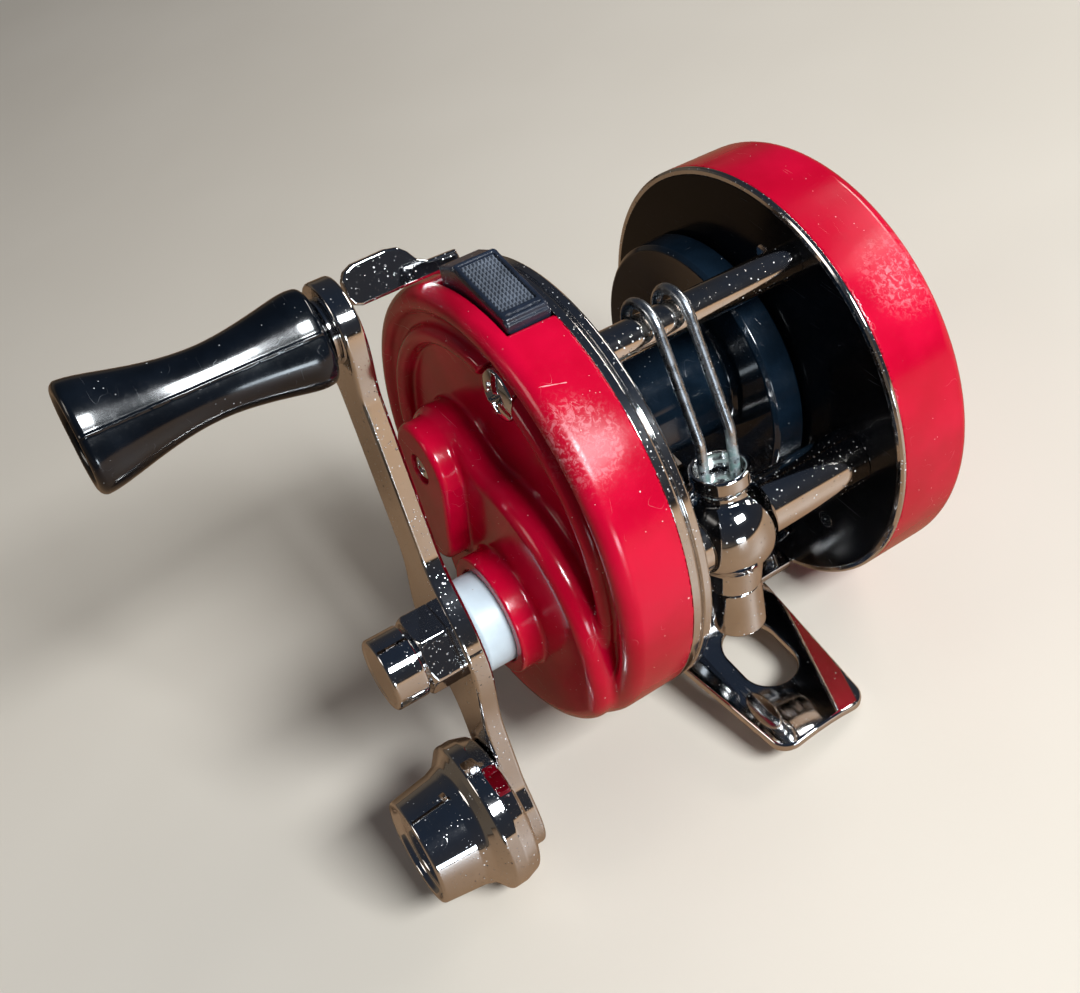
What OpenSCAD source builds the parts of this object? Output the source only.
// Round level-wind fishing reel, right-hand crank.
// Frame: +X along the spool axis towards the crank, +Y towards the line guide,
// +Z away from the rod. Origin on the flat underside of the foot, midway
// between the side plates. Millimetres.

/* [Frame] */
// Radius of the palm side disc
palm_r = 27; // [26.8:0.1:27.4]
// Radius of the handle side disc
handle_r = 26.7; // [26.5:0.1:26.9]
// Half of the gap between the side plates
gap = 13; // [13:0.1:13.2]
// Radius of the front cross pillar
pillar_r = 2; // [1.9:0.1:2.2]

/* [Covers] */
// Depth of the palm side cover from the plate
palm_depth = 9.3; // [8.9:0.1:9.7]
// Wall thickness of both covers
cover_wall = 1.5; // [1.4:0.1:1.6]

/* [Spool] */
// Radius of the spool flanges
flange_r = 17.2; // [16.5:0.1:17.3]
// Radius of the spool core
core_r = 8; // [6:0.5:10]

/* [Crank] */
// Distance from crank axis to knob axis
knob_throw = 38; // [36:0.5:40]
// Distance from crank axis to counterweight axis
weight_throw = 23; // [22:0.5:24]
// Width of the crank arm at the shaft
arm_w = 11; // [10:0.1:11.4]
// Thickness of the crank arm
arm_t = 2.4; // [2.2:0.1:2.6]

/* [Foot] */
// Distance from the centre of the foot to each tip
foot_reach = 33; // [31:0.5:35]
// Sheet thickness of the foot
foot_t = 1.2; // [1:0.1:1.2]

/* [Line guide] */
// Position of the line guide along the tube
guide_x = 5; // [4.5:0.1:5.4]
// Spacing between the two guide wires
wire_gap = 4; // [3.6:0.1:4.2]

/* [View] */
// Part to draw
node = "all"; // [all, frame_plate_handle, frame_plate_palm, frame_ring_handle, frame_ring_palm, cover_ring, pillar_front, pillar_rear, reel_foot, foot_rivets, handle_cover, palm_cover, handle_cover_screws, palm_cover_screws, bearing_screw, end_bearing, bushing_handle, bushing_palm, crank_bushing, spool, spool_shaft, cross_pin, pinion, pinion_yoke, yoke_posts, clutch_plate, thumb_button, button_spring, lever, lever_stud, drive_shaft, drive_gear, ratchet_wheel, ratchet_dog, dog_stud, nylon_bushing, crank_arm, crank_nut, counterweight, knob_spindle, handle_knob, tube, worm_bushings, worm_shaft, worm_gear, idler_gear, idler_stud, carriage, guide_wires, guide_pawl, pawl_cap, tension_cap]

/* [Hidden] */
$fn = 96;
NODES = ["frame_plate_handle", "frame_plate_palm", "frame_ring_handle",
  "frame_ring_palm", "cover_ring", "pillar_front", "pillar_rear", "reel_foot",
  "foot_rivets", "handle_cover", "palm_cover", "handle_cover_screws",
  "palm_cover_screws", "bearing_screw", "end_bearing", "bushing_handle",
  "bushing_palm", "crank_bushing", "spool", "spool_shaft", "cross_pin",
  "pinion", "pinion_yoke", "yoke_posts", "clutch_plate", "thumb_button",
  "button_spring", "lever", "lever_stud", "drive_shaft", "drive_gear",
  "ratchet_wheel", "ratchet_dog", "dog_stud", "nylon_bushing", "crank_arm",
  "crank_nut", "counterweight", "knob_spindle", "handle_knob", "tube",
  "worm_bushings", "worm_shaft", "worm_gear", "idler_gear", "idler_stud",
  "carriage", "guide_wires", "guide_pawl", "pawl_cap", "tension_cap"];

// Colours shared by several pieces
chrome = [0.8, 0.8, 0.82];
steel = [0.7, 0.7, 0.72];
warm_steel = [0.8, 0.78, 0.76];
sheet_steel = [0.72, 0.72, 0.7];
hard_steel = [0.6, 0.6, 0.62];
foot_grey = [0.75, 0.75, 0.78];
plate_black = [0.03, 0.03, 0.04];
cover_red = [0.75, 0.02, 0.08];
bronze = [0.8, 0.65, 0.3];
gear_white = [0.92, 0.92, 0.88];

axis_z = 25;                   // height of the frame centre above the foot underside
plate_t = 1.4;
cut = 1;                       // overrun of a cut past the face it leaves
slip = 0.05;                   // radial clearance of a sliding fit

// Stations along X
plate_x = gap + plate_t;       // outer face of the handle plate
stud_x = gap + 0.2;            // inner end of the studs
cover_x = plate_x + 1.4;       // where the handle cover starts
ratchet_x = 15;
pin_x = 15.6;                  // cross pin through the spool shaft
clutch_x = 15.9;
gear_x = 18.9;
roof_x = 21.2;                 // inside of the handle cover roof
floor_x = 22.3;                // outside of the recessed cover floor
housing_x = 26.2;              // top of the raised gear housing
boss_x = 28.9;                 // top of the bearing boss
collar_x = 29.2;               // top of the crank collar
arm_x = 32.9;                  // inner face of the crank arm
out_x = arm_x + arm_t;         // outer face of the crank arm
palm_x = -plate_x - palm_depth; // outer end of the palm cover

// Radii shared by mating pieces
ring_w = 0.8;                  // width of the rings round the plates
pillar_pin_r = 1.2;
rivet_r = 1.1;
cover_screw_r = 1.1;
bushing_r = 3;
crank_bushing_r = 3.2;
spool_shaft_r = 1.25;
spool_bore_r = 1.3;
drive_shaft_r = 2.5;
thread_r = 1.7;                // outer end of the drive shaft
drive_square = 3.5;            // square that drives the crank arm
idler_pin_r = 1.2;
lever_pin_r = 1.1;
dog_pin_r = 1;
yoke_post_r = 0.8;
tube_r = 3.4;
tube_end_r = 3;
tube_bore_r = 2.6;

// ---------- helpers ----------
// A place is [y, z] measured from the frame centre.
function polar(r, a) = r*[cos(a), sin(a)];
function arc(centre, r, angles) = [for (a = angles) centre + polar(r, a)];
function heading(v) = atan2(v[1], v[0]);

module at(place, x) translate([x, place[0], place[1] + axis_z]) rotate([90, 0, 90]) children();
module rod(place, x0, x1, r) at(place, x0) cylinder(h = x1 - x0, r = r);
// rows of steps are [start x, end x, radius]
module stepped(place, steps) for (s = steps) rod(place, s[0], s[1], s[2]);
// rows of the outline are [radius, x]
module turned(place, outline, x = 0) at(place, x) rotate_extrude() polygon(outline);
// turns +Y to point outwards at a clock position, with Z along the rim
module clock(a) translate([0, 0, axis_z]) rotate([a, 0, 0]) children();
module mirrored(axis) {
  children();
  mirror(axis) children();
}
// straight bar with round ends between two places
module bar(x0, x1, p, q, r) {
  a = heading(q - p);
  half_turn = [for (k = [0:24]) 7.5*k - 90];
  at([0, 0], x0) linear_extrude(x1 - x0) polygon(concat(
    arc(q, r, [for (t = half_turn) a + t]),
    arc(p, r, [for (t = half_turn) a + 180 + t])));
}
module cross_rod(place, x, r, l)
  translate([x, place[0], place[1] + axis_z - l/2]) cylinder(h = l, r = r, $fn = 32);

// ---------- gear train ----------
gear_module = 0.6;
backlash = 0.14;               // share of the tooth width removed
drive_teeth = 38;
pinion_teeth = 10;
idler_teeth = 12;
worm_teeth = 11;
function mesh(n1, n2) = gear_module*(n1 + n2)/2;   // centre distance

spool_at = [-5.6, -0.9];
crank_angle = -33.7;           // direction from spool to crank
crank_at = spool_at + polar(mesh(drive_teeth, pinion_teeth), crank_angle);
worm_at = [18.7, 1.4];

// the idler meshes with both the drive gear and the worm gear
crank_idler = mesh(drive_teeth, idler_teeth);
idler_worm = mesh(idler_teeth, worm_teeth);
crank_worm = norm(worm_at - crank_at);
idler_angle = heading(worm_at - crank_at)
  + acos((pow(crank_idler, 2) + pow(crank_worm, 2) - pow(idler_worm, 2))
    /(2*crank_idler*crank_worm));
idler_at = crank_at + polar(crank_idler, idler_angle);
worm_angle = heading(worm_at - idler_at);

// turns that bring a tooth of one gear into a gap of the next
drive_turn = crank_angle + 180;
pinion_turn = crank_angle + 180/pinion_teeth;
idler_turn = idler_angle + 180 + 180/idler_teeth
  - (drive_turn - idler_angle)*drive_teeth/idler_teeth;
worm_turn = worm_angle + 180 + 180/worm_teeth
  - (idler_turn - worm_angle)*idler_teeth/worm_teeth;

function involute(base_r, r) = let(a = acos(min(1, base_r/r))) tan(a)*180/PI - a;
function gear_outline(teeth) =
  let(pitch_r = gear_module*teeth/2,
    base_r = pitch_r*cos(20),
    tip_r = pitch_r + 0.8*gear_module,
    root_r = pitch_r - 1.15*gear_module,
    flank_r = max(base_r, root_r + 0.05),
    radii = [for (k = [0:3]) flank_r + (tip_r - flank_r)*k/3],
    half = [for (r = radii)
      90/teeth*(1 - backlash) + involute(base_r, pitch_r) - involute(base_r, r)],
    root_half = half[0] + 0.35*(180/teeth - half[0]))
  [for (i = [0:teeth - 1]) let(c = 360*i/teeth) each concat(
    [polar(root_r, c - root_half)],
    [for (k = [0:3]) polar(radii[k], c - half[k])],
    [for (k = [3:-1:0]) polar(radii[k], c + half[k])],
    [polar(root_r, c + root_half)])];
module gear(place, teeth, h, bore, turn) at(place, gear_x) rotate(turn) difference() {
  linear_extrude(h) polygon(gear_outline(teeth));
  translate([0, 0, -cut]) cylinder(h = h + 2*cut, r = bore);
}

// ---------- places ----------
front_at = [6.3, 21.75];       // front pillar
rear_at = [-18.6, -15.2];      // rear pillar
arm_angle = -66;               // direction from crank axis to counterweight
knob_at = crank_at - polar(knob_throw, arm_angle);
weight_at = crank_at + polar(weight_throw, arm_angle);
button_angle = 100;            // clock position of the thumb button
button_w = 5.3;                // width of the thumb button along X
lever_angle = 121;             // clock position of the lever
lever_reach = 20;
lever_at = polar(lever_reach, lever_angle);
handle_screws = [80, 215];     // clock positions of the cover screws
palm_screws = [85, 205, 325];
screw_circle = 20;
boss_screw_at = [-6.7, 4.1];
boss_end = [-5, -5];           // lower end of the bearing boss
lobe_at = [-6.2, 0.9];         // small lobe of the gear housing
dog_at = [-3.2, -14.4];        // pivot of the ratchet dog
rivets = [[7, -20.8], [-7, -20.8]];
yoke_reach = 8.3;
yoke_ends = [spool_at + [0, yoke_reach], spool_at - [yoke_reach, 0]];

module screw_rods(angles, x0, x1, r) for (a = angles) rod(polar(screw_circle, a), x0, x1, r);

// ---------- frame ----------
// rows are [place, radius]
shared_holes = concat(
  [[front_at, pillar_pin_r], [rear_at, pillar_pin_r], [worm_at, tube_end_r], [spool_at, bushing_r]],
  [for (p = rivets) [p, rivet_r]]);
handle_holes = concat(
  [[crank_at, crank_bushing_r], [idler_at, idler_pin_r], [lever_at, lever_pin_r],
    [dog_at, dog_pin_r]],
  [for (p = yoke_ends) [p, yoke_post_r]]);
// side plate at the handle end
module plate(disc_r, holes, screws) difference() {
  rod([0, 0], gap, plate_x, disc_r - ring_w);
  for (h = holes) rod(h[0], gap - cut, plate_x + cut, h[1]);
  screw_rods(screws, gap - cut, plate_x + cut, cover_screw_r);
}
module frame_plate_handle() color(plate_black)
  plate(handle_r, concat(shared_holes, handle_holes), handle_screws);
module frame_plate_palm() color(plate_black)
  mirror([1, 0, 0]) plate(palm_r, shared_holes, palm_screws);
module frame_ring_handle() color(chrome) turned([0, 0], [
  [handle_r - ring_w, gap + 0.2], [handle_r - 0.3, gap + 0.2], [handle_r, gap + 0.5],
  [handle_r, plate_x - 0.1], [handle_r - 0.1, plate_x], [handle_r - ring_w, plate_x]]);
module frame_ring_palm() color(chrome) turned([0, 0], [
  [palm_r - ring_w, -gap - 0.05], [palm_r - 0.3, -gap - 0.05], [palm_r, -gap - 0.25],
  [palm_r, -gap - 0.6], [palm_r - ring_w, -gap - 0.6]]);
module cover_ring() color(chrome) turned([0, 0], [
  [handle_r - 1.5, plate_x], [handle_r - 0.4, plate_x], [handle_r - 0.4, plate_x + 0.15],
  [handle_r - 0.1, plate_x + 0.3], [handle_r, plate_x + 0.5],
  [handle_r, cover_x], [handle_r - 1.5, cover_x]]);
module pillar(place, r)
  stepped(place, [[-gap, gap, r], [-plate_x, plate_x, pillar_pin_r]]);
module pillar_front() color(warm_steel) pillar(front_at, pillar_r);
module pillar_rear() color(warm_steel) pillar(rear_at, 1.9);

// ---------- foot ----------
foot_half = 11.5;              // half length of the flat middle of the foot
tab_t = 0.7;                   // thickness of the upright side tabs
module reel_foot() color(foot_grey) {
  arch_r = 22;
  toe_root_w = 8.8;            // half widths of the toe
  toe_tip_w = 6.8;
  corner_r = 2.6;
  corner = [toe_tip_w - corner_r, foot_reach - corner_r];
  toe = concat([[toe_root_w, foot_half]],
    arc(corner, corner_r, [0:15:90]),
    arc([-corner[0], corner[1]], corner_r, [90:15:180]),
    [[-toe_root_w, foot_half]]);
  hole_r = 3.6;
  hole_y = [18.9, 22.1];       // centres of the round ends of the toe slot
  difference() {
    union() {
      // toes, cut from an arched sheet
      mirrored([0, 1, 0]) intersection() {
        translate([0, 0, -9]) linear_extrude(14) polygon(toe);
        translate([0, -60, foot_t + 0.2 - arch_r]) rotate([-90, 0, 0]) difference() {
          cylinder(h = 120, r = arch_r, $fn = 180);
          translate([0, 0, -cut]) cylinder(h = 120 + 2*cut, r = arch_r - foot_t, $fn = 180);
        }
      }
      translate([-gap, -foot_half, 0]) cube([2*gap, 2*foot_half, foot_t]);
      translate([-2.6, -12.4, 0]) cube([5.2, 24.8, foot_t]);
      // upright side tabs with rounded tops
      mirrored([1, 0, 0]) intersection() {
        translate([gap - tab_t, -foot_half, 0]) cube([tab_t, 2*foot_half, 6.6]);
        rod([0, -14.8], -gap, gap, 11.6);
      }
    }
    mirrored([0, 1, 0]) translate([0, 0, -9]) linear_extrude(14) {
      for (y = hole_y) translate([0, y]) circle(r = hole_r);
      translate([-hole_r, hole_y[0]]) square([2*hole_r, hole_y[1] - hole_y[0]]);
    }
    for (p = rivets) rod(p, -20, 20, rivet_r);
  }
}
module foot_rivets() color(foot_grey) for (p = rivets) mirrored([1, 0, 0]) {
  rod(p, gap - tab_t, plate_x, rivet_r);
  at(p, gap - tab_t - 0.7) cylinder(h = 0.7, r1 = 1.4, r2 = 2);
}

// ---------- handle side cover ----------
housing_r = 17;                // large lobe of the gear housing
lobe_r = 9;
housing_wall = 1.4;
boss_r = 5.5;
boss_wall = 1.5;
pocket_x = 14;                 // where the cuts from inside start
nylon_r = 4;
module cover_shell() turned([0, 0], concat(
  [[0, roof_x], [24.2, roof_x], [25.2, roof_x - 1],
    [handle_r - cover_wall, cover_x], [handle_r, cover_x]],
  arc([handle_r - 1.7, 22], 1.7, [0:15:90]),
  [[24, 23.5], [23.3, 22.8], [22.7, 22.6], [22.3, 22.65]],
  arc([21.1, 22.8], 1.1, [0:20:180]),
  [[19.7, floor_x], [0, floor_x]]));
module housing_lobe(place, r) turned(place, [
  [0, roof_x], [r, roof_x], [r, housing_x - 1.6], [r - 0.25, housing_x - 0.8],
  [r - 0.8, housing_x - 0.25], [r - 1.6, housing_x], [0, housing_x]]);
module handle_cover() color(cover_red) difference() {
  union() {
    cover_shell();
    // large lobe, trimmed to stay inside the rim
    intersection() {
      housing_lobe(crank_at, housing_r);
      turned([0, 0], [[0, roof_x], [26.1, roof_x], [26.1, housing_x - 1.6],
        [25.8, housing_x - 0.7], [24.8, housing_x], [0, housing_x]]);
    }
    housing_lobe(lobe_at, lobe_r);
    // bearing boss
    bar(floor_x, boss_x, boss_screw_at, boss_end, boss_r);
    // crank collar
    turned(crank_at, [[0, floor_x], [7.3, floor_x], [7.3, collar_x - 0.5], [7, collar_x],
      [6.2, collar_x], [5.8, collar_x - 0.5], [0, collar_x - 0.5]]);
    // screw posts
    screw_rods(handle_screws, plate_x, roof_x + 0.5, 1.9);
    // floor under the thumb button
    clock(button_angle) translate([cover_x, 20.8, -8.4]) cube([6, 1.2, 14.6]);
  }
  // pockets under the housing
  intersection() {
    rod(crank_at, pocket_x, housing_x - housing_wall, housing_r - housing_wall);
    rod([0, 0], pocket_x, housing_x - housing_wall, 24.6);
  }
  rod(lobe_at, pocket_x, housing_x - housing_wall, lobe_r - housing_wall);
  bar(pocket_x, boss_x - boss_wall, boss_screw_at, spool_at, boss_r - boss_wall);
  // crank bushing bore
  rod(crank_at, pocket_x, collar_x + cut, nylon_r + slip);
  // small screw in the boss
  stepped(boss_screw_at, [[boss_x - 0.7, boss_x + cut, 1.8], [boss_x - 2, boss_x, 0.9]]);
  // cover screws and their head recesses
  screw_rods(handle_screws, pocket_x, 27, cover_screw_r + slip);
  screw_rods(handle_screws, 22.4, 27, 3.25);
  // notch for the thumb button
  clock(button_angle) {
    translate([cover_x - cut, 22, -7.8]) cube([button_w + 0.3 + cut, 8, 14]);
    translate([cover_x - cut, 20, -2.9]) cube([2.1, 6, 5.8]);
  }
  // slot for the lever
  clock(lever_angle) translate([16.7, 22.5, -2]) cube([2.6, 6, 4]);
}
// cross-slotted screw with its head at the outer end
module screw(place, x0, x1, shank_r, head_r, head_h) difference() {
  union() {
    rod(place, x0, x1, shank_r);
    turned(place, [[0, x1 - head_h], [head_r, x1 - head_h], [head_r, x1 - head_h*0.5],
      [head_r*0.82, x1 - head_h*0.15], [head_r*0.55, x1], [0, x1]]);
  }
  at(place, x1 - head_h*0.55) for (a = [20, 110]) rotate(a)
    translate([-head_r*0.62, -head_r*0.13, 0]) cube([head_r*1.24, head_r*0.26, head_h]);
}
module handle_cover_screws() color(chrome) for (a = handle_screws)
  screw(polar(screw_circle, a), gap, 24.1, cover_screw_r, head_r = 3, head_h = 1.7);
boss_screw_r = 0.85;
module bearing_screw() color(chrome)
  screw(boss_screw_at, 24.6, boss_x - 0.05, boss_screw_r, head_r = 1.6, head_h = 0.6);
module end_bearing() color(bronze) difference() {
  bar(24.5, boss_x - 1.6, boss_screw_at, spool_at, 3.6);
  rod(spool_at, 24, 28, spool_bore_r);
  rod(boss_screw_at, 24, 28, boss_screw_r);
}
// bushing in the handle plate, flanged on the outside
module bushing(place, r, bore, rim_r) difference() {
  stepped(place, [[gap, plate_x + 0.5, r], [plate_x, plate_x + 0.5, rim_r]]);
  rod(place, gap - cut, plate_x + 0.5 + cut, bore);
}
module spool_bushing() bushing(spool_at, bushing_r, spool_bore_r, 3.6);
module bushing_handle() color(bronze) spool_bushing();
module bushing_palm() color(bronze) mirror([1, 0, 0]) spool_bushing();
module crank_bushing() color(bronze) bushing(crank_at, crank_bushing_r, 2.05, 4);

// ---------- palm side cover ----------
cap_stem_r = 4;
module palm_cover() color(cover_red) difference() {
  union() {
    turned([0, 0], concat(
      [[0, palm_x + cover_wall + 0.3], [24.4, palm_x + cover_wall + 0.3],
        [25.2, palm_x + 2.8], [palm_r - cover_wall, -plate_x], [palm_r - ring_w, -plate_x],
        [palm_r - ring_w, -gap - 0.6], [palm_r, -gap - 0.6]],
      arc([palm_r - 2, palm_x + 1.8], 1.8, [0:-15:-90]),
      [[22.6, palm_x], [22, palm_x + 0.6], [0, palm_x + 0.6]]));
    screw_rods(palm_screws, palm_x + 1, -plate_x, 1.9);
    rod(spool_at, palm_x + 0.2, palm_x + 3.6, 6.2);
  }
  rod(spool_at, palm_x - cut, palm_x + 4, cap_stem_r + slip);
  screw_rods(palm_screws, palm_x - cut, -plate_x + cut, cover_screw_r + slip);
  screw_rods(palm_screws, palm_x - cut, palm_x + 0.6, 2.4);
}
module palm_cover_screws() color(chrome) mirror([1, 0, 0]) for (a = palm_screws)
  screw(polar(screw_circle, a), gap, -palm_x + 0.5, cover_screw_r, head_r = 2.2, head_h = 1.1);
// knurled cap round the palm end of the spool shaft
module tension_cap() color(chrome) difference() {
  union() {
    rod(spool_at, palm_x - 0.1, palm_x + 3.4, cap_stem_r);
    at(spool_at, palm_x - 2.9) linear_extrude(2.8)
      polygon([for (i = [0:71]) polar(i % 2 == 0 ? 6.4 : 6.1, 5*i)]);
  }
  rod(spool_at, palm_x - 4, palm_x - 2.3, 4.6);
  rod(spool_at, -21.4, palm_x + 4, spool_bore_r);
}

// ---------- spool ----------
module spool() color([0.02, 0.03, 0.06]) difference() {
  end_x = gap - 0.3;
  // handle half, from the core outwards, then back along the end face
  half = [[core_r, 9.2], [core_r + 0.6, 9.8], [flange_r - 1.5, 8.6],
    [flange_r - 0.7, 8.5], [flange_r - 0.3, 8.9], [flange_r, end_x - 0.4],
    [flange_r - 0.4, end_x], [core_r + 6, end_x], [core_r + 5, end_x - 0.6], [0, end_x - 0.6]];
  turned(spool_at, concat(
    [for (i = [len(half) - 1:-1:0]) [half[i][0], -half[i][1]]], half));
  rod(spool_at, -20, 20, spool_shaft_r);
}
module pin_body() cross_rod(spool_at, pin_x, r = 0.5, l = 5);
module spool_shaft() color(steel) difference() {
  rod(spool_at, -20.9, 26, spool_shaft_r);
  pin_body();
}
module cross_pin() color(steel) pin_body();
module pinion() color([0.8, 0.62, 0.3]) difference() {
  union() {
    stepped(spool_at, [[15.1, 16.8, 3.4], [16.8, 18, 2.3]]);
    at(spool_at, 18) rotate(pinion_turn) linear_extrude(4.4) polygon(gear_outline(pinion_teeth));
  }
  rod(spool_at, 14, 24, 1.33);
  // slot for the cross pin
  translate([15, spool_at[0] - 0.6, spool_at[1] + axis_z - 4]) cube([1.15, 1.2, 8]);
}
// yoke that slides the pinion; posts guide it
module pinion_yoke() color(sheet_steel) difference() {
  for (end = yoke_ends) for (offset_yz = [5, 2.8])
    bar(16.95, 17.65, spool_at + offset_yz*[-1, 1], end, 2);
  rod(spool_at, 16, 19, 2.4);
  for (p = yoke_ends) rod(p, 16, 19, yoke_post_r + 0.08);
}
module yoke_posts() color(steel)
  for (p = yoke_ends) rod(p, gap + 0.4, 20.4, yoke_post_r);
// plate under the thumb button with two ramps that lift the yoke
clutch_t = 0.8;
clutch_w = 5.2;
module clutch_plate() color(sheet_steel) clock(button_angle) {
  difference() {
    union() {
      translate([clutch_x, 8, -clutch_w/2]) cube([clutch_t, 16.2, clutch_w]);
      translate([clutch_x, 6.2, -clutch_w/2]) cube([clutch_t, 7, 9.2]);
    }
    translate([15, 5, 3.2]) cube([3, 5.8, 2.1]);
  }
  for (z = [2.2, 5.5]) translate([0, 0, z]) linear_extrude(1)
    polygon([[16.6, 10.1], [16.85, 10.1], [17.95, 11.9], [17.95, 12.6], [16.6, 12.6]]);
}

// ---------- thumb button and lever ----------
module thumb_button() color([0.04, 0.05, 0.09]) clock(button_angle) difference() {
  translate([cover_x + 0.1, 0, 0]) union() {
    // body whose top rises towards the back, then slopes down behind; rows are
    // [distance out, distance along the rim]
    rotate([90, 0, 90]) linear_extrude(button_w)
      polygon([[25.2, -7.6], [26.2, -7.6], [26.5, -7.15], [28.97, 2.05], [28.8, 3.3],
        [27.9, 5.9], [25.2, 5.9]]);
    translate([0, 23.7, -4.6]) cube([button_w, 2, 9.2]);
    // raised border round the knurled field
    rotate([-15, 0, 0]) {
      for (z = [-0.2, 9.2]) translate([0, 27, z]) cube([button_w, 0.75, 0.8]);
      for (x = [0, button_w - 0.6]) translate([x, 27, -0.2]) cube([0.6, 0.75, 10.2]);
      for (i = [0:4]) for (j = [0:8])
        translate([button_w/2 + 0.8*(i - 2), 27.2, 4.9 + 0.94*(j - 4)])
          rotate([-90, 45, 0]) cylinder(h = 0.45, r1 = 0.5, r2 = 0.2, $fn = 4);
    }
  }
  // sockets for the clutch plate and the spring
  translate([clutch_x - slip, 20, -clutch_w/2 - slip])
    cube([clutch_t + 2*slip, 4.3, clutch_w + 2*slip]);
  translate([18, 20, -2.2]) cube([2.8, 5.6, 4.4]);
}
// folded strip spring under the button
module button_spring() color(steel) clock(button_angle) translate([18.2, 22.02, 0]) {
  strip_t = 0.22;
  strip_w = 2.4;
  leaf = 3.4;                  // length of each flat leaf
  pitch = 0.66;
  for (k = [0:5]) {
    translate([0, k*pitch, -leaf/2]) cube([strip_w, strip_t, leaf]);
    if (k < 5) translate([0, k*pitch, k % 2 == 0 ? leaf/2 - strip_t : -leaf/2])
      cube([strip_w, pitch + strip_t, strip_t]);
  }
}
module lever() color(chrome) {
  // finger tab outside the cover; rows are [distance out, -x]
  tab = [[26.95, -17], [28.6, -17], [28.7, -20.4], [29.3, -21.6], [30.4, -22.3],
    [31.2, -23.2], [31.5, -24.6], [31.4, -28.6], [30.9, -29.7], [30, -30.3],
    [28.2, -30.3], [27.3, -29.9], [26.95, -29]];
  blade_t = 1.2;
  difference() {
    union() {
      rod(lever_at, 17, 19, 2.3);
      clock(lever_angle) translate([17, lever_reach, -blade_t/2]) cube([2, 8, blade_t]);
    }
    rod(lever_at, 16, 20, lever_pin_r + slip);
  }
  clock(lever_angle) rotate([0, 0, 90]) translate([0, 0, -blade_t/2])
    linear_extrude(blade_t) polygon(tab);
}
module lever_stud() color(steel) stepped(lever_at,
  [[stud_x, 19.2, lever_pin_r], [plate_x, 16.9, 1.7], [19.1, 19.6, 1.7]]);

// ---------- crank ----------
module drive_shaft() color(steel) {
  stepped(crank_at, [[stud_x, ratchet_x, 2], [ratchet_x, arm_x, drive_shaft_r],
    [arm_x - 2, 38, thread_r]]);
  at(crank_at, arm_x) rotate(arm_angle) translate([-drive_square/2, -drive_square/2, 0])
    cube([drive_square, drive_square, arm_t]);
}
module drive_gear() color([0.85, 0.68, 0.32])
  gear(crank_at, drive_teeth, 2, drive_shaft_r, drive_turn);
ratchet_t = 1.2;
module ratchet_wheel() color(hard_steel) at(crank_at, ratchet_x) difference() {
  teeth = 12;
  // each tooth in turn, rows are [radius, angle past the tip]
  tooth = [[8, 0], [6.9, 1], [7.2, 11], [7.6, 21]];
  linear_extrude(ratchet_t) polygon([for (i = [0:teeth - 1]) for (t = tooth)
    polar(t[0], 189 + 360*i/teeth + t[1])]);
  translate([0, 0, -cut]) cylinder(h = 4, r = drive_shaft_r);
}
module ratchet_dog() color(hard_steel) difference() {
  union() {
    rod(dog_at, ratchet_x, ratchet_x + ratchet_t, 2);
    at(dog_at, ratchet_x) linear_extrude(ratchet_t)
      polygon([[-1.6, 0.8], [0.2, 3.6], [0.75, 3.55], [1.5, 2.4], [1.8, 0.4]]);
  }
  rod(dog_at, 14, 18, dog_pin_r + 0.06);
}
module dog_stud() color(steel)
  stepped(dog_at, [[stud_x, 16.4, dog_pin_r], [16.3, 16.8, 1.7]]);
module nylon_bushing() color([0.9, 0.92, 0.92]) difference() {
  turned(crank_at, [[0, 23.7], [nylon_r, 23.7], [nylon_r, collar_x - 0.5],
    [5.6, collar_x - 0.5], [5.6, arm_x - 0.6], [5.3, arm_x - 0.25], [0, arm_x - 0.25]]);
  rod(crank_at, 20, 34, drive_shaft_r + slip);
}
module crank_arm() color(chrome) at(crank_at, arm_x) rotate(arm_angle) difference() {
  bar_w = 6.2;
  weight_end = weight_throw + 2.3;
  union() {
    // round hub and ends, rows are [distance along the arm, radius]
    for (d = [[0, arm_w/2], [-knob_throw, 4.6], [weight_end, 3.6]])
      translate([d[0], 0, 0]) cylinder(h = arm_t, r = d[1]);
    translate([-knob_throw, -bar_w/2, 0]) cube([knob_throw + weight_end, bar_w, arm_t]);
    // fillets beside the hub
    for (s = [-1, 1]) for (t = [-1, 1]) linear_extrude(arm_t)
      polygon([[s*3, 0], [s*9.5, t*(bar_w/2 - 0.5)], [s*9, t*bar_w/2], [s*3.4, t*4.3]]);
  }
  translate([-drive_square/2, -drive_square/2, -cut])
    cube([drive_square, drive_square, arm_t + 2*cut]);
  for (d = [[weight_throw, 2], [-knob_throw, 1.6]])
    translate([d[0], 0, -cut]) cylinder(h = arm_t + 2*cut, r = d[1]);
}
module crank_nut() color(chrome) difference() {
  round_r = 4.98;
  union() {
    // hexagon with chamfered corners
    at(crank_at, out_x) rotate(arm_angle + 12) intersection() {
      cylinder(h = 3.7, r = 4.95, $fn = 6);
      union() {
        cylinder(h = 3.2, r = round_r);
        translate([0, 0, 3.2]) cylinder(h = 0.5, r1 = round_r, r2 = 4.3);
      }
    }
    rod(crank_at, 38.4, 39.6, 3.5);
    turned(crank_at, [[0, 39.2], [4, 39.2], [4.3, 39.5], [4.3, 42.7], [4, 43.1],
      [3.4, 43.3], [0, 43.3]]);
  }
  rod(crank_at, out_x - cut, 40, thread_r);
}
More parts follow.
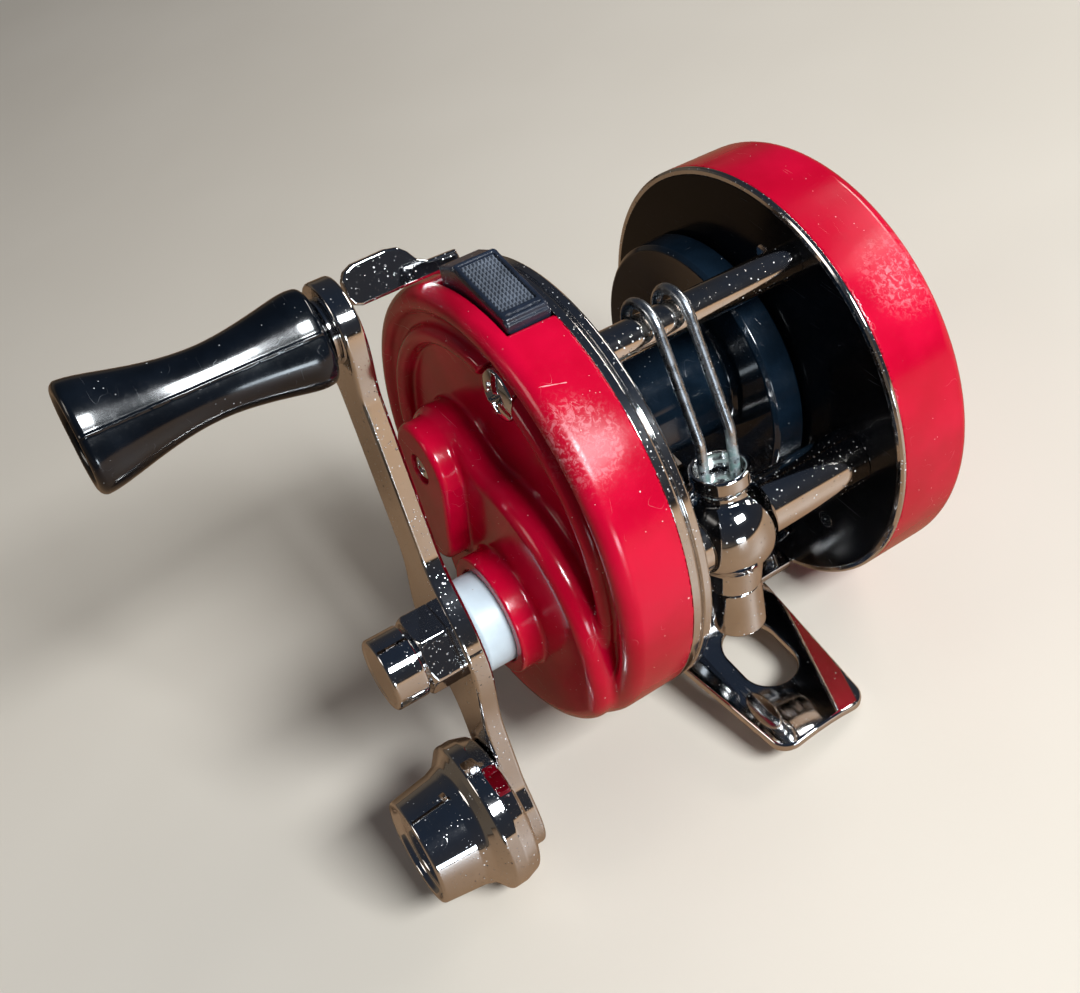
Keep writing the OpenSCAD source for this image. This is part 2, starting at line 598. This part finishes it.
module counterweight() color(chrome) {
  rod(weight_at, arm_x, out_x + 0.1, 1.98);
  turned(weight_at, [[0, 0], [7.9, 0], [8.6, 0.3], [9.05, 1.2], [9.35, 2.6], [9.35, 3.7],
    [9.1, 4.2], [8.4, 4.7], [7.85, 5.2], [7.5, 5.7], [7.25, 6.4], [7.05, 7.4],
    [6.55, 11.1], [6.35, 11.6], [5.95, 11.8], [5.6, 11.7], [5.3, 11.1], [0, 10.7]], out_x);
}
knob_x = out_x + 0.9;
knob_len = 25.2;
knob_end = knob_x + knob_len;
module knob_spindle() color(chrome) {
  stepped(knob_at, [[arm_x, knob_end - 1.6, 1.58], [knob_end - 2.1, knob_end - 1.5, 2.6]]);
  turned(knob_at, [[0, 0], [3.4, 0], [3.6, 0.2], [3.6, 0.5], [3.4, 0.7], [0, 0.7]], out_x);
}
module handle_knob() color([0.03, 0.03, 0.03]) difference() {
  turned(knob_at, [[0, 0], [4.6, 0], [5.1, 0.4], [5.2, 1.4], [4.9, 3], [4.3, 5.8],
    [3.9, 8.6], [3.75, 11.4], [3.9, 14.2], [4.3, 17], [4.9, 19.8], [5.5, 22.4],
    [5.8, 24], [5.8, 24.7], [5.5, knob_len], [4.9, knob_len], [4.5, knob_len - 0.7],
    [4, knob_len - 2.2], [0, knob_len - 2.2]], knob_x);
  rod(knob_at, knob_x - cut, knob_end + cut, 1.67);
}

// ---------- level wind ----------
cup_lean = 13;                 // lean of the line guide towards the back
module lean(x) translate([x, worm_at[0], worm_at[1] + axis_z])
  rotate([cup_lean, 0, 0]) children();
module tube() color(warm_steel) difference() {
  stepped(worm_at, [[-gap, gap, tube_r], [-plate_x, plate_x, tube_end_r]]);
  rod(worm_at, -plate_x - cut, plate_x + cut, tube_bore_r);
  // slot along the underside
  lean(0) translate([-11.6, -1.25, -6]) cube([23.2, 2.5, 5]);
}
module worm_bushings() color([0.85, 0.85, 0.8]) mirrored([1, 0, 0]) difference() {
  stepped(worm_at, [[12, plate_x, tube_bore_r], [plate_x, plate_x + 0.5, 3.4]]);
  rod(worm_at, -20, 20, 1.55);
}
worm_half = 11.8;              // half length of the threaded part
worm_end_r = 1.5;
module helix(turns)
  linear_extrude(height = 2*worm_half, twist = 360*turns, slices = 42, $fn = 12)
    translate([0.4, 0]) circle(r = 1.95, $fn = 12);
module worm_shaft() color(steel) {
  stepped(worm_at, [[-15.2, -worm_half, worm_end_r], [worm_half, 20.6, worm_end_r],
    [-11.9, 11.9, 1.6]]);
  // crossed left and right threads
  at(worm_at, -worm_half) intersection() {
    helix(3);
    helix(-3);
  }
}
module worm_gear() color(gear_white) gear(worm_at, worm_teeth, 1.7, worm_end_r, worm_turn);
module idler_gear() color(gear_white)
  gear(idler_at, idler_teeth, 1.7, idler_pin_r + 0.06, idler_turn);
module idler_stud() color(steel) stepped(idler_at,
  [[stud_x, 21, idler_pin_r], [plate_x, 18.8, 2], [20.7, 21.05, 1.9]]);

pawl_r = 1.1;
pawl_z = -7.6;                 // lower end of the pawl housing
// ball that slides on the tube, with a leaning cup and a pawl housing
module carriage() color(chrome) difference() {
  lean(guide_x) {
    sphere(r = 5.6);
    translate([0, 0, 3.4]) cylinder(h = 2.9, r1 = 2.6, r2 = 3);
    translate([0, 0, 6.2]) cylinder(h = 1.8, r = 3.4);
    translate([0, 0, pawl_z]) cylinder(h = 4.2, r1 = 3.1, r2 = 3.8);
  }
  rod(worm_at, -20, 20, tube_r + slip);
  lean(guide_x) {
    translate([0, 0, 5.6]) cylinder(h = 5, r = 2.8);
    translate([0, 0, -9]) cylinder(h = 8, r = pawl_r + slip);
  }
}
// wire: straight start inside the cup, small bend, long run, hook over the pillar
wire_r = 0.62;
wire_sides = 16;
start_angle = 103;
bend_r = 3;
wire_start = worm_at + polar(5.65, cup_lean + 90);
bend_start = wire_start + polar(5.6, start_angle);
to_pillar = front_at - bend_start;
run_angle = heading(to_pillar) - asin((pillar_r + wire_r + 0.28)/norm(to_pillar));
bend_centre = bend_start + polar(bend_r, start_angle + 90);
run_start = bend_centre + polar(bend_r, run_angle - 90);
hook_r = abs((front_at - run_start)*polar(1, run_angle + 90));
// stations along one wire, [place, heading]
wire_path = concat([[wire_start, start_angle], [bend_start, start_angle]],
  [for (k = [1:3]) let(a = start_angle + (run_angle - start_angle)*k/4)
    [bend_centre + polar(bend_r, a - 90), a]],
  [[run_start, run_angle]],
  [for (k = [0:16]) let(a = run_angle + 178*k/16) [front_at + polar(hook_r, a - 90), a]]);
module wire(x) {
  last = len(wire_path) - 1;
  around = [0:wire_sides - 1];
  polyhedron(
    points = [for (s = wire_path) for (k = around)
      let(b = 360*k/wire_sides, p = s[0] + polar(wire_r*sin(b), s[1] + 90))
      [x + wire_r*cos(b), p[0], p[1] + axis_z]],
    faces = concat([[for (k = around) k]],
      [for (i = [0:last - 1]) for (k = around)
        let(next = (k + 1) % wire_sides, row = i*wire_sides, above = row + wire_sides)
        [row + next, row + k, above + k, above + next]],
      [[for (k = [wire_sides - 1:-1:0]) last*wire_sides + k]]));
}
module guide_wires() color([0.6, 0.62, 0.65])
  for (s = [-1, 1]) wire(guide_x + s*wire_gap/2);
module guide_pawl() color(bronze)
  lean(guide_x) translate([0, 0, pawl_z]) cylinder(h = 5.15, r = pawl_r);
module pawl_cap() color(chrome) lean(guide_x) translate([0, 0, pawl_z]) rotate([180, 0, 0]) {
  cap_r = 3.05;
  cap_h = 5.9;
  cylinder(h = cap_h, r = cap_r);
  translate([0, 0, cap_h]) cylinder(h = 0.4, r1 = cap_r, r2 = 2.65);
}

function shown(name) = node == "all" || node == name;
if (shown("frame_plate_handle")) frame_plate_handle();
if (shown("frame_plate_palm")) frame_plate_palm();
if (shown("frame_ring_handle")) frame_ring_handle();
if (shown("frame_ring_palm")) frame_ring_palm();
if (shown("cover_ring")) cover_ring();
if (shown("pillar_front")) pillar_front();
if (shown("pillar_rear")) pillar_rear();
if (shown("reel_foot")) reel_foot();
if (shown("foot_rivets")) foot_rivets();
if (shown("handle_cover")) handle_cover();
if (shown("palm_cover")) palm_cover();
if (shown("handle_cover_screws")) handle_cover_screws();
if (shown("palm_cover_screws")) palm_cover_screws();
if (shown("bearing_screw")) bearing_screw();
if (shown("end_bearing")) end_bearing();
if (shown("bushing_handle")) bushing_handle();
if (shown("bushing_palm")) bushing_palm();
if (shown("crank_bushing")) crank_bushing();
if (shown("spool")) spool();
if (shown("spool_shaft")) spool_shaft();
if (shown("cross_pin")) cross_pin();
if (shown("pinion")) pinion();
if (shown("pinion_yoke")) pinion_yoke();
if (shown("yoke_posts")) yoke_posts();
if (shown("clutch_plate")) clutch_plate();
if (shown("thumb_button")) thumb_button();
if (shown("button_spring")) button_spring();
if (shown("lever")) lever();
if (shown("lever_stud")) lever_stud();
if (shown("drive_shaft")) drive_shaft();
if (shown("drive_gear")) drive_gear();
if (shown("ratchet_wheel")) ratchet_wheel();
if (shown("ratchet_dog")) ratchet_dog();
if (shown("dog_stud")) dog_stud();
if (shown("nylon_bushing")) nylon_bushing();
if (shown("crank_arm")) crank_arm();
if (shown("crank_nut")) crank_nut();
if (shown("counterweight")) counterweight();
if (shown("knob_spindle")) knob_spindle();
if (shown("handle_knob")) handle_knob();
if (shown("tube")) tube();
if (shown("worm_bushings")) worm_bushings();
if (shown("worm_shaft")) worm_shaft();
if (shown("worm_gear")) worm_gear();
if (shown("idler_gear")) idler_gear();
if (shown("idler_stud")) idler_stud();
if (shown("carriage")) carriage();
if (shown("guide_wires")) guide_wires();
if (shown("guide_pawl")) guide_pawl();
if (shown("pawl_cap")) pawl_cap();
if (shown("tension_cap")) tension_cap();
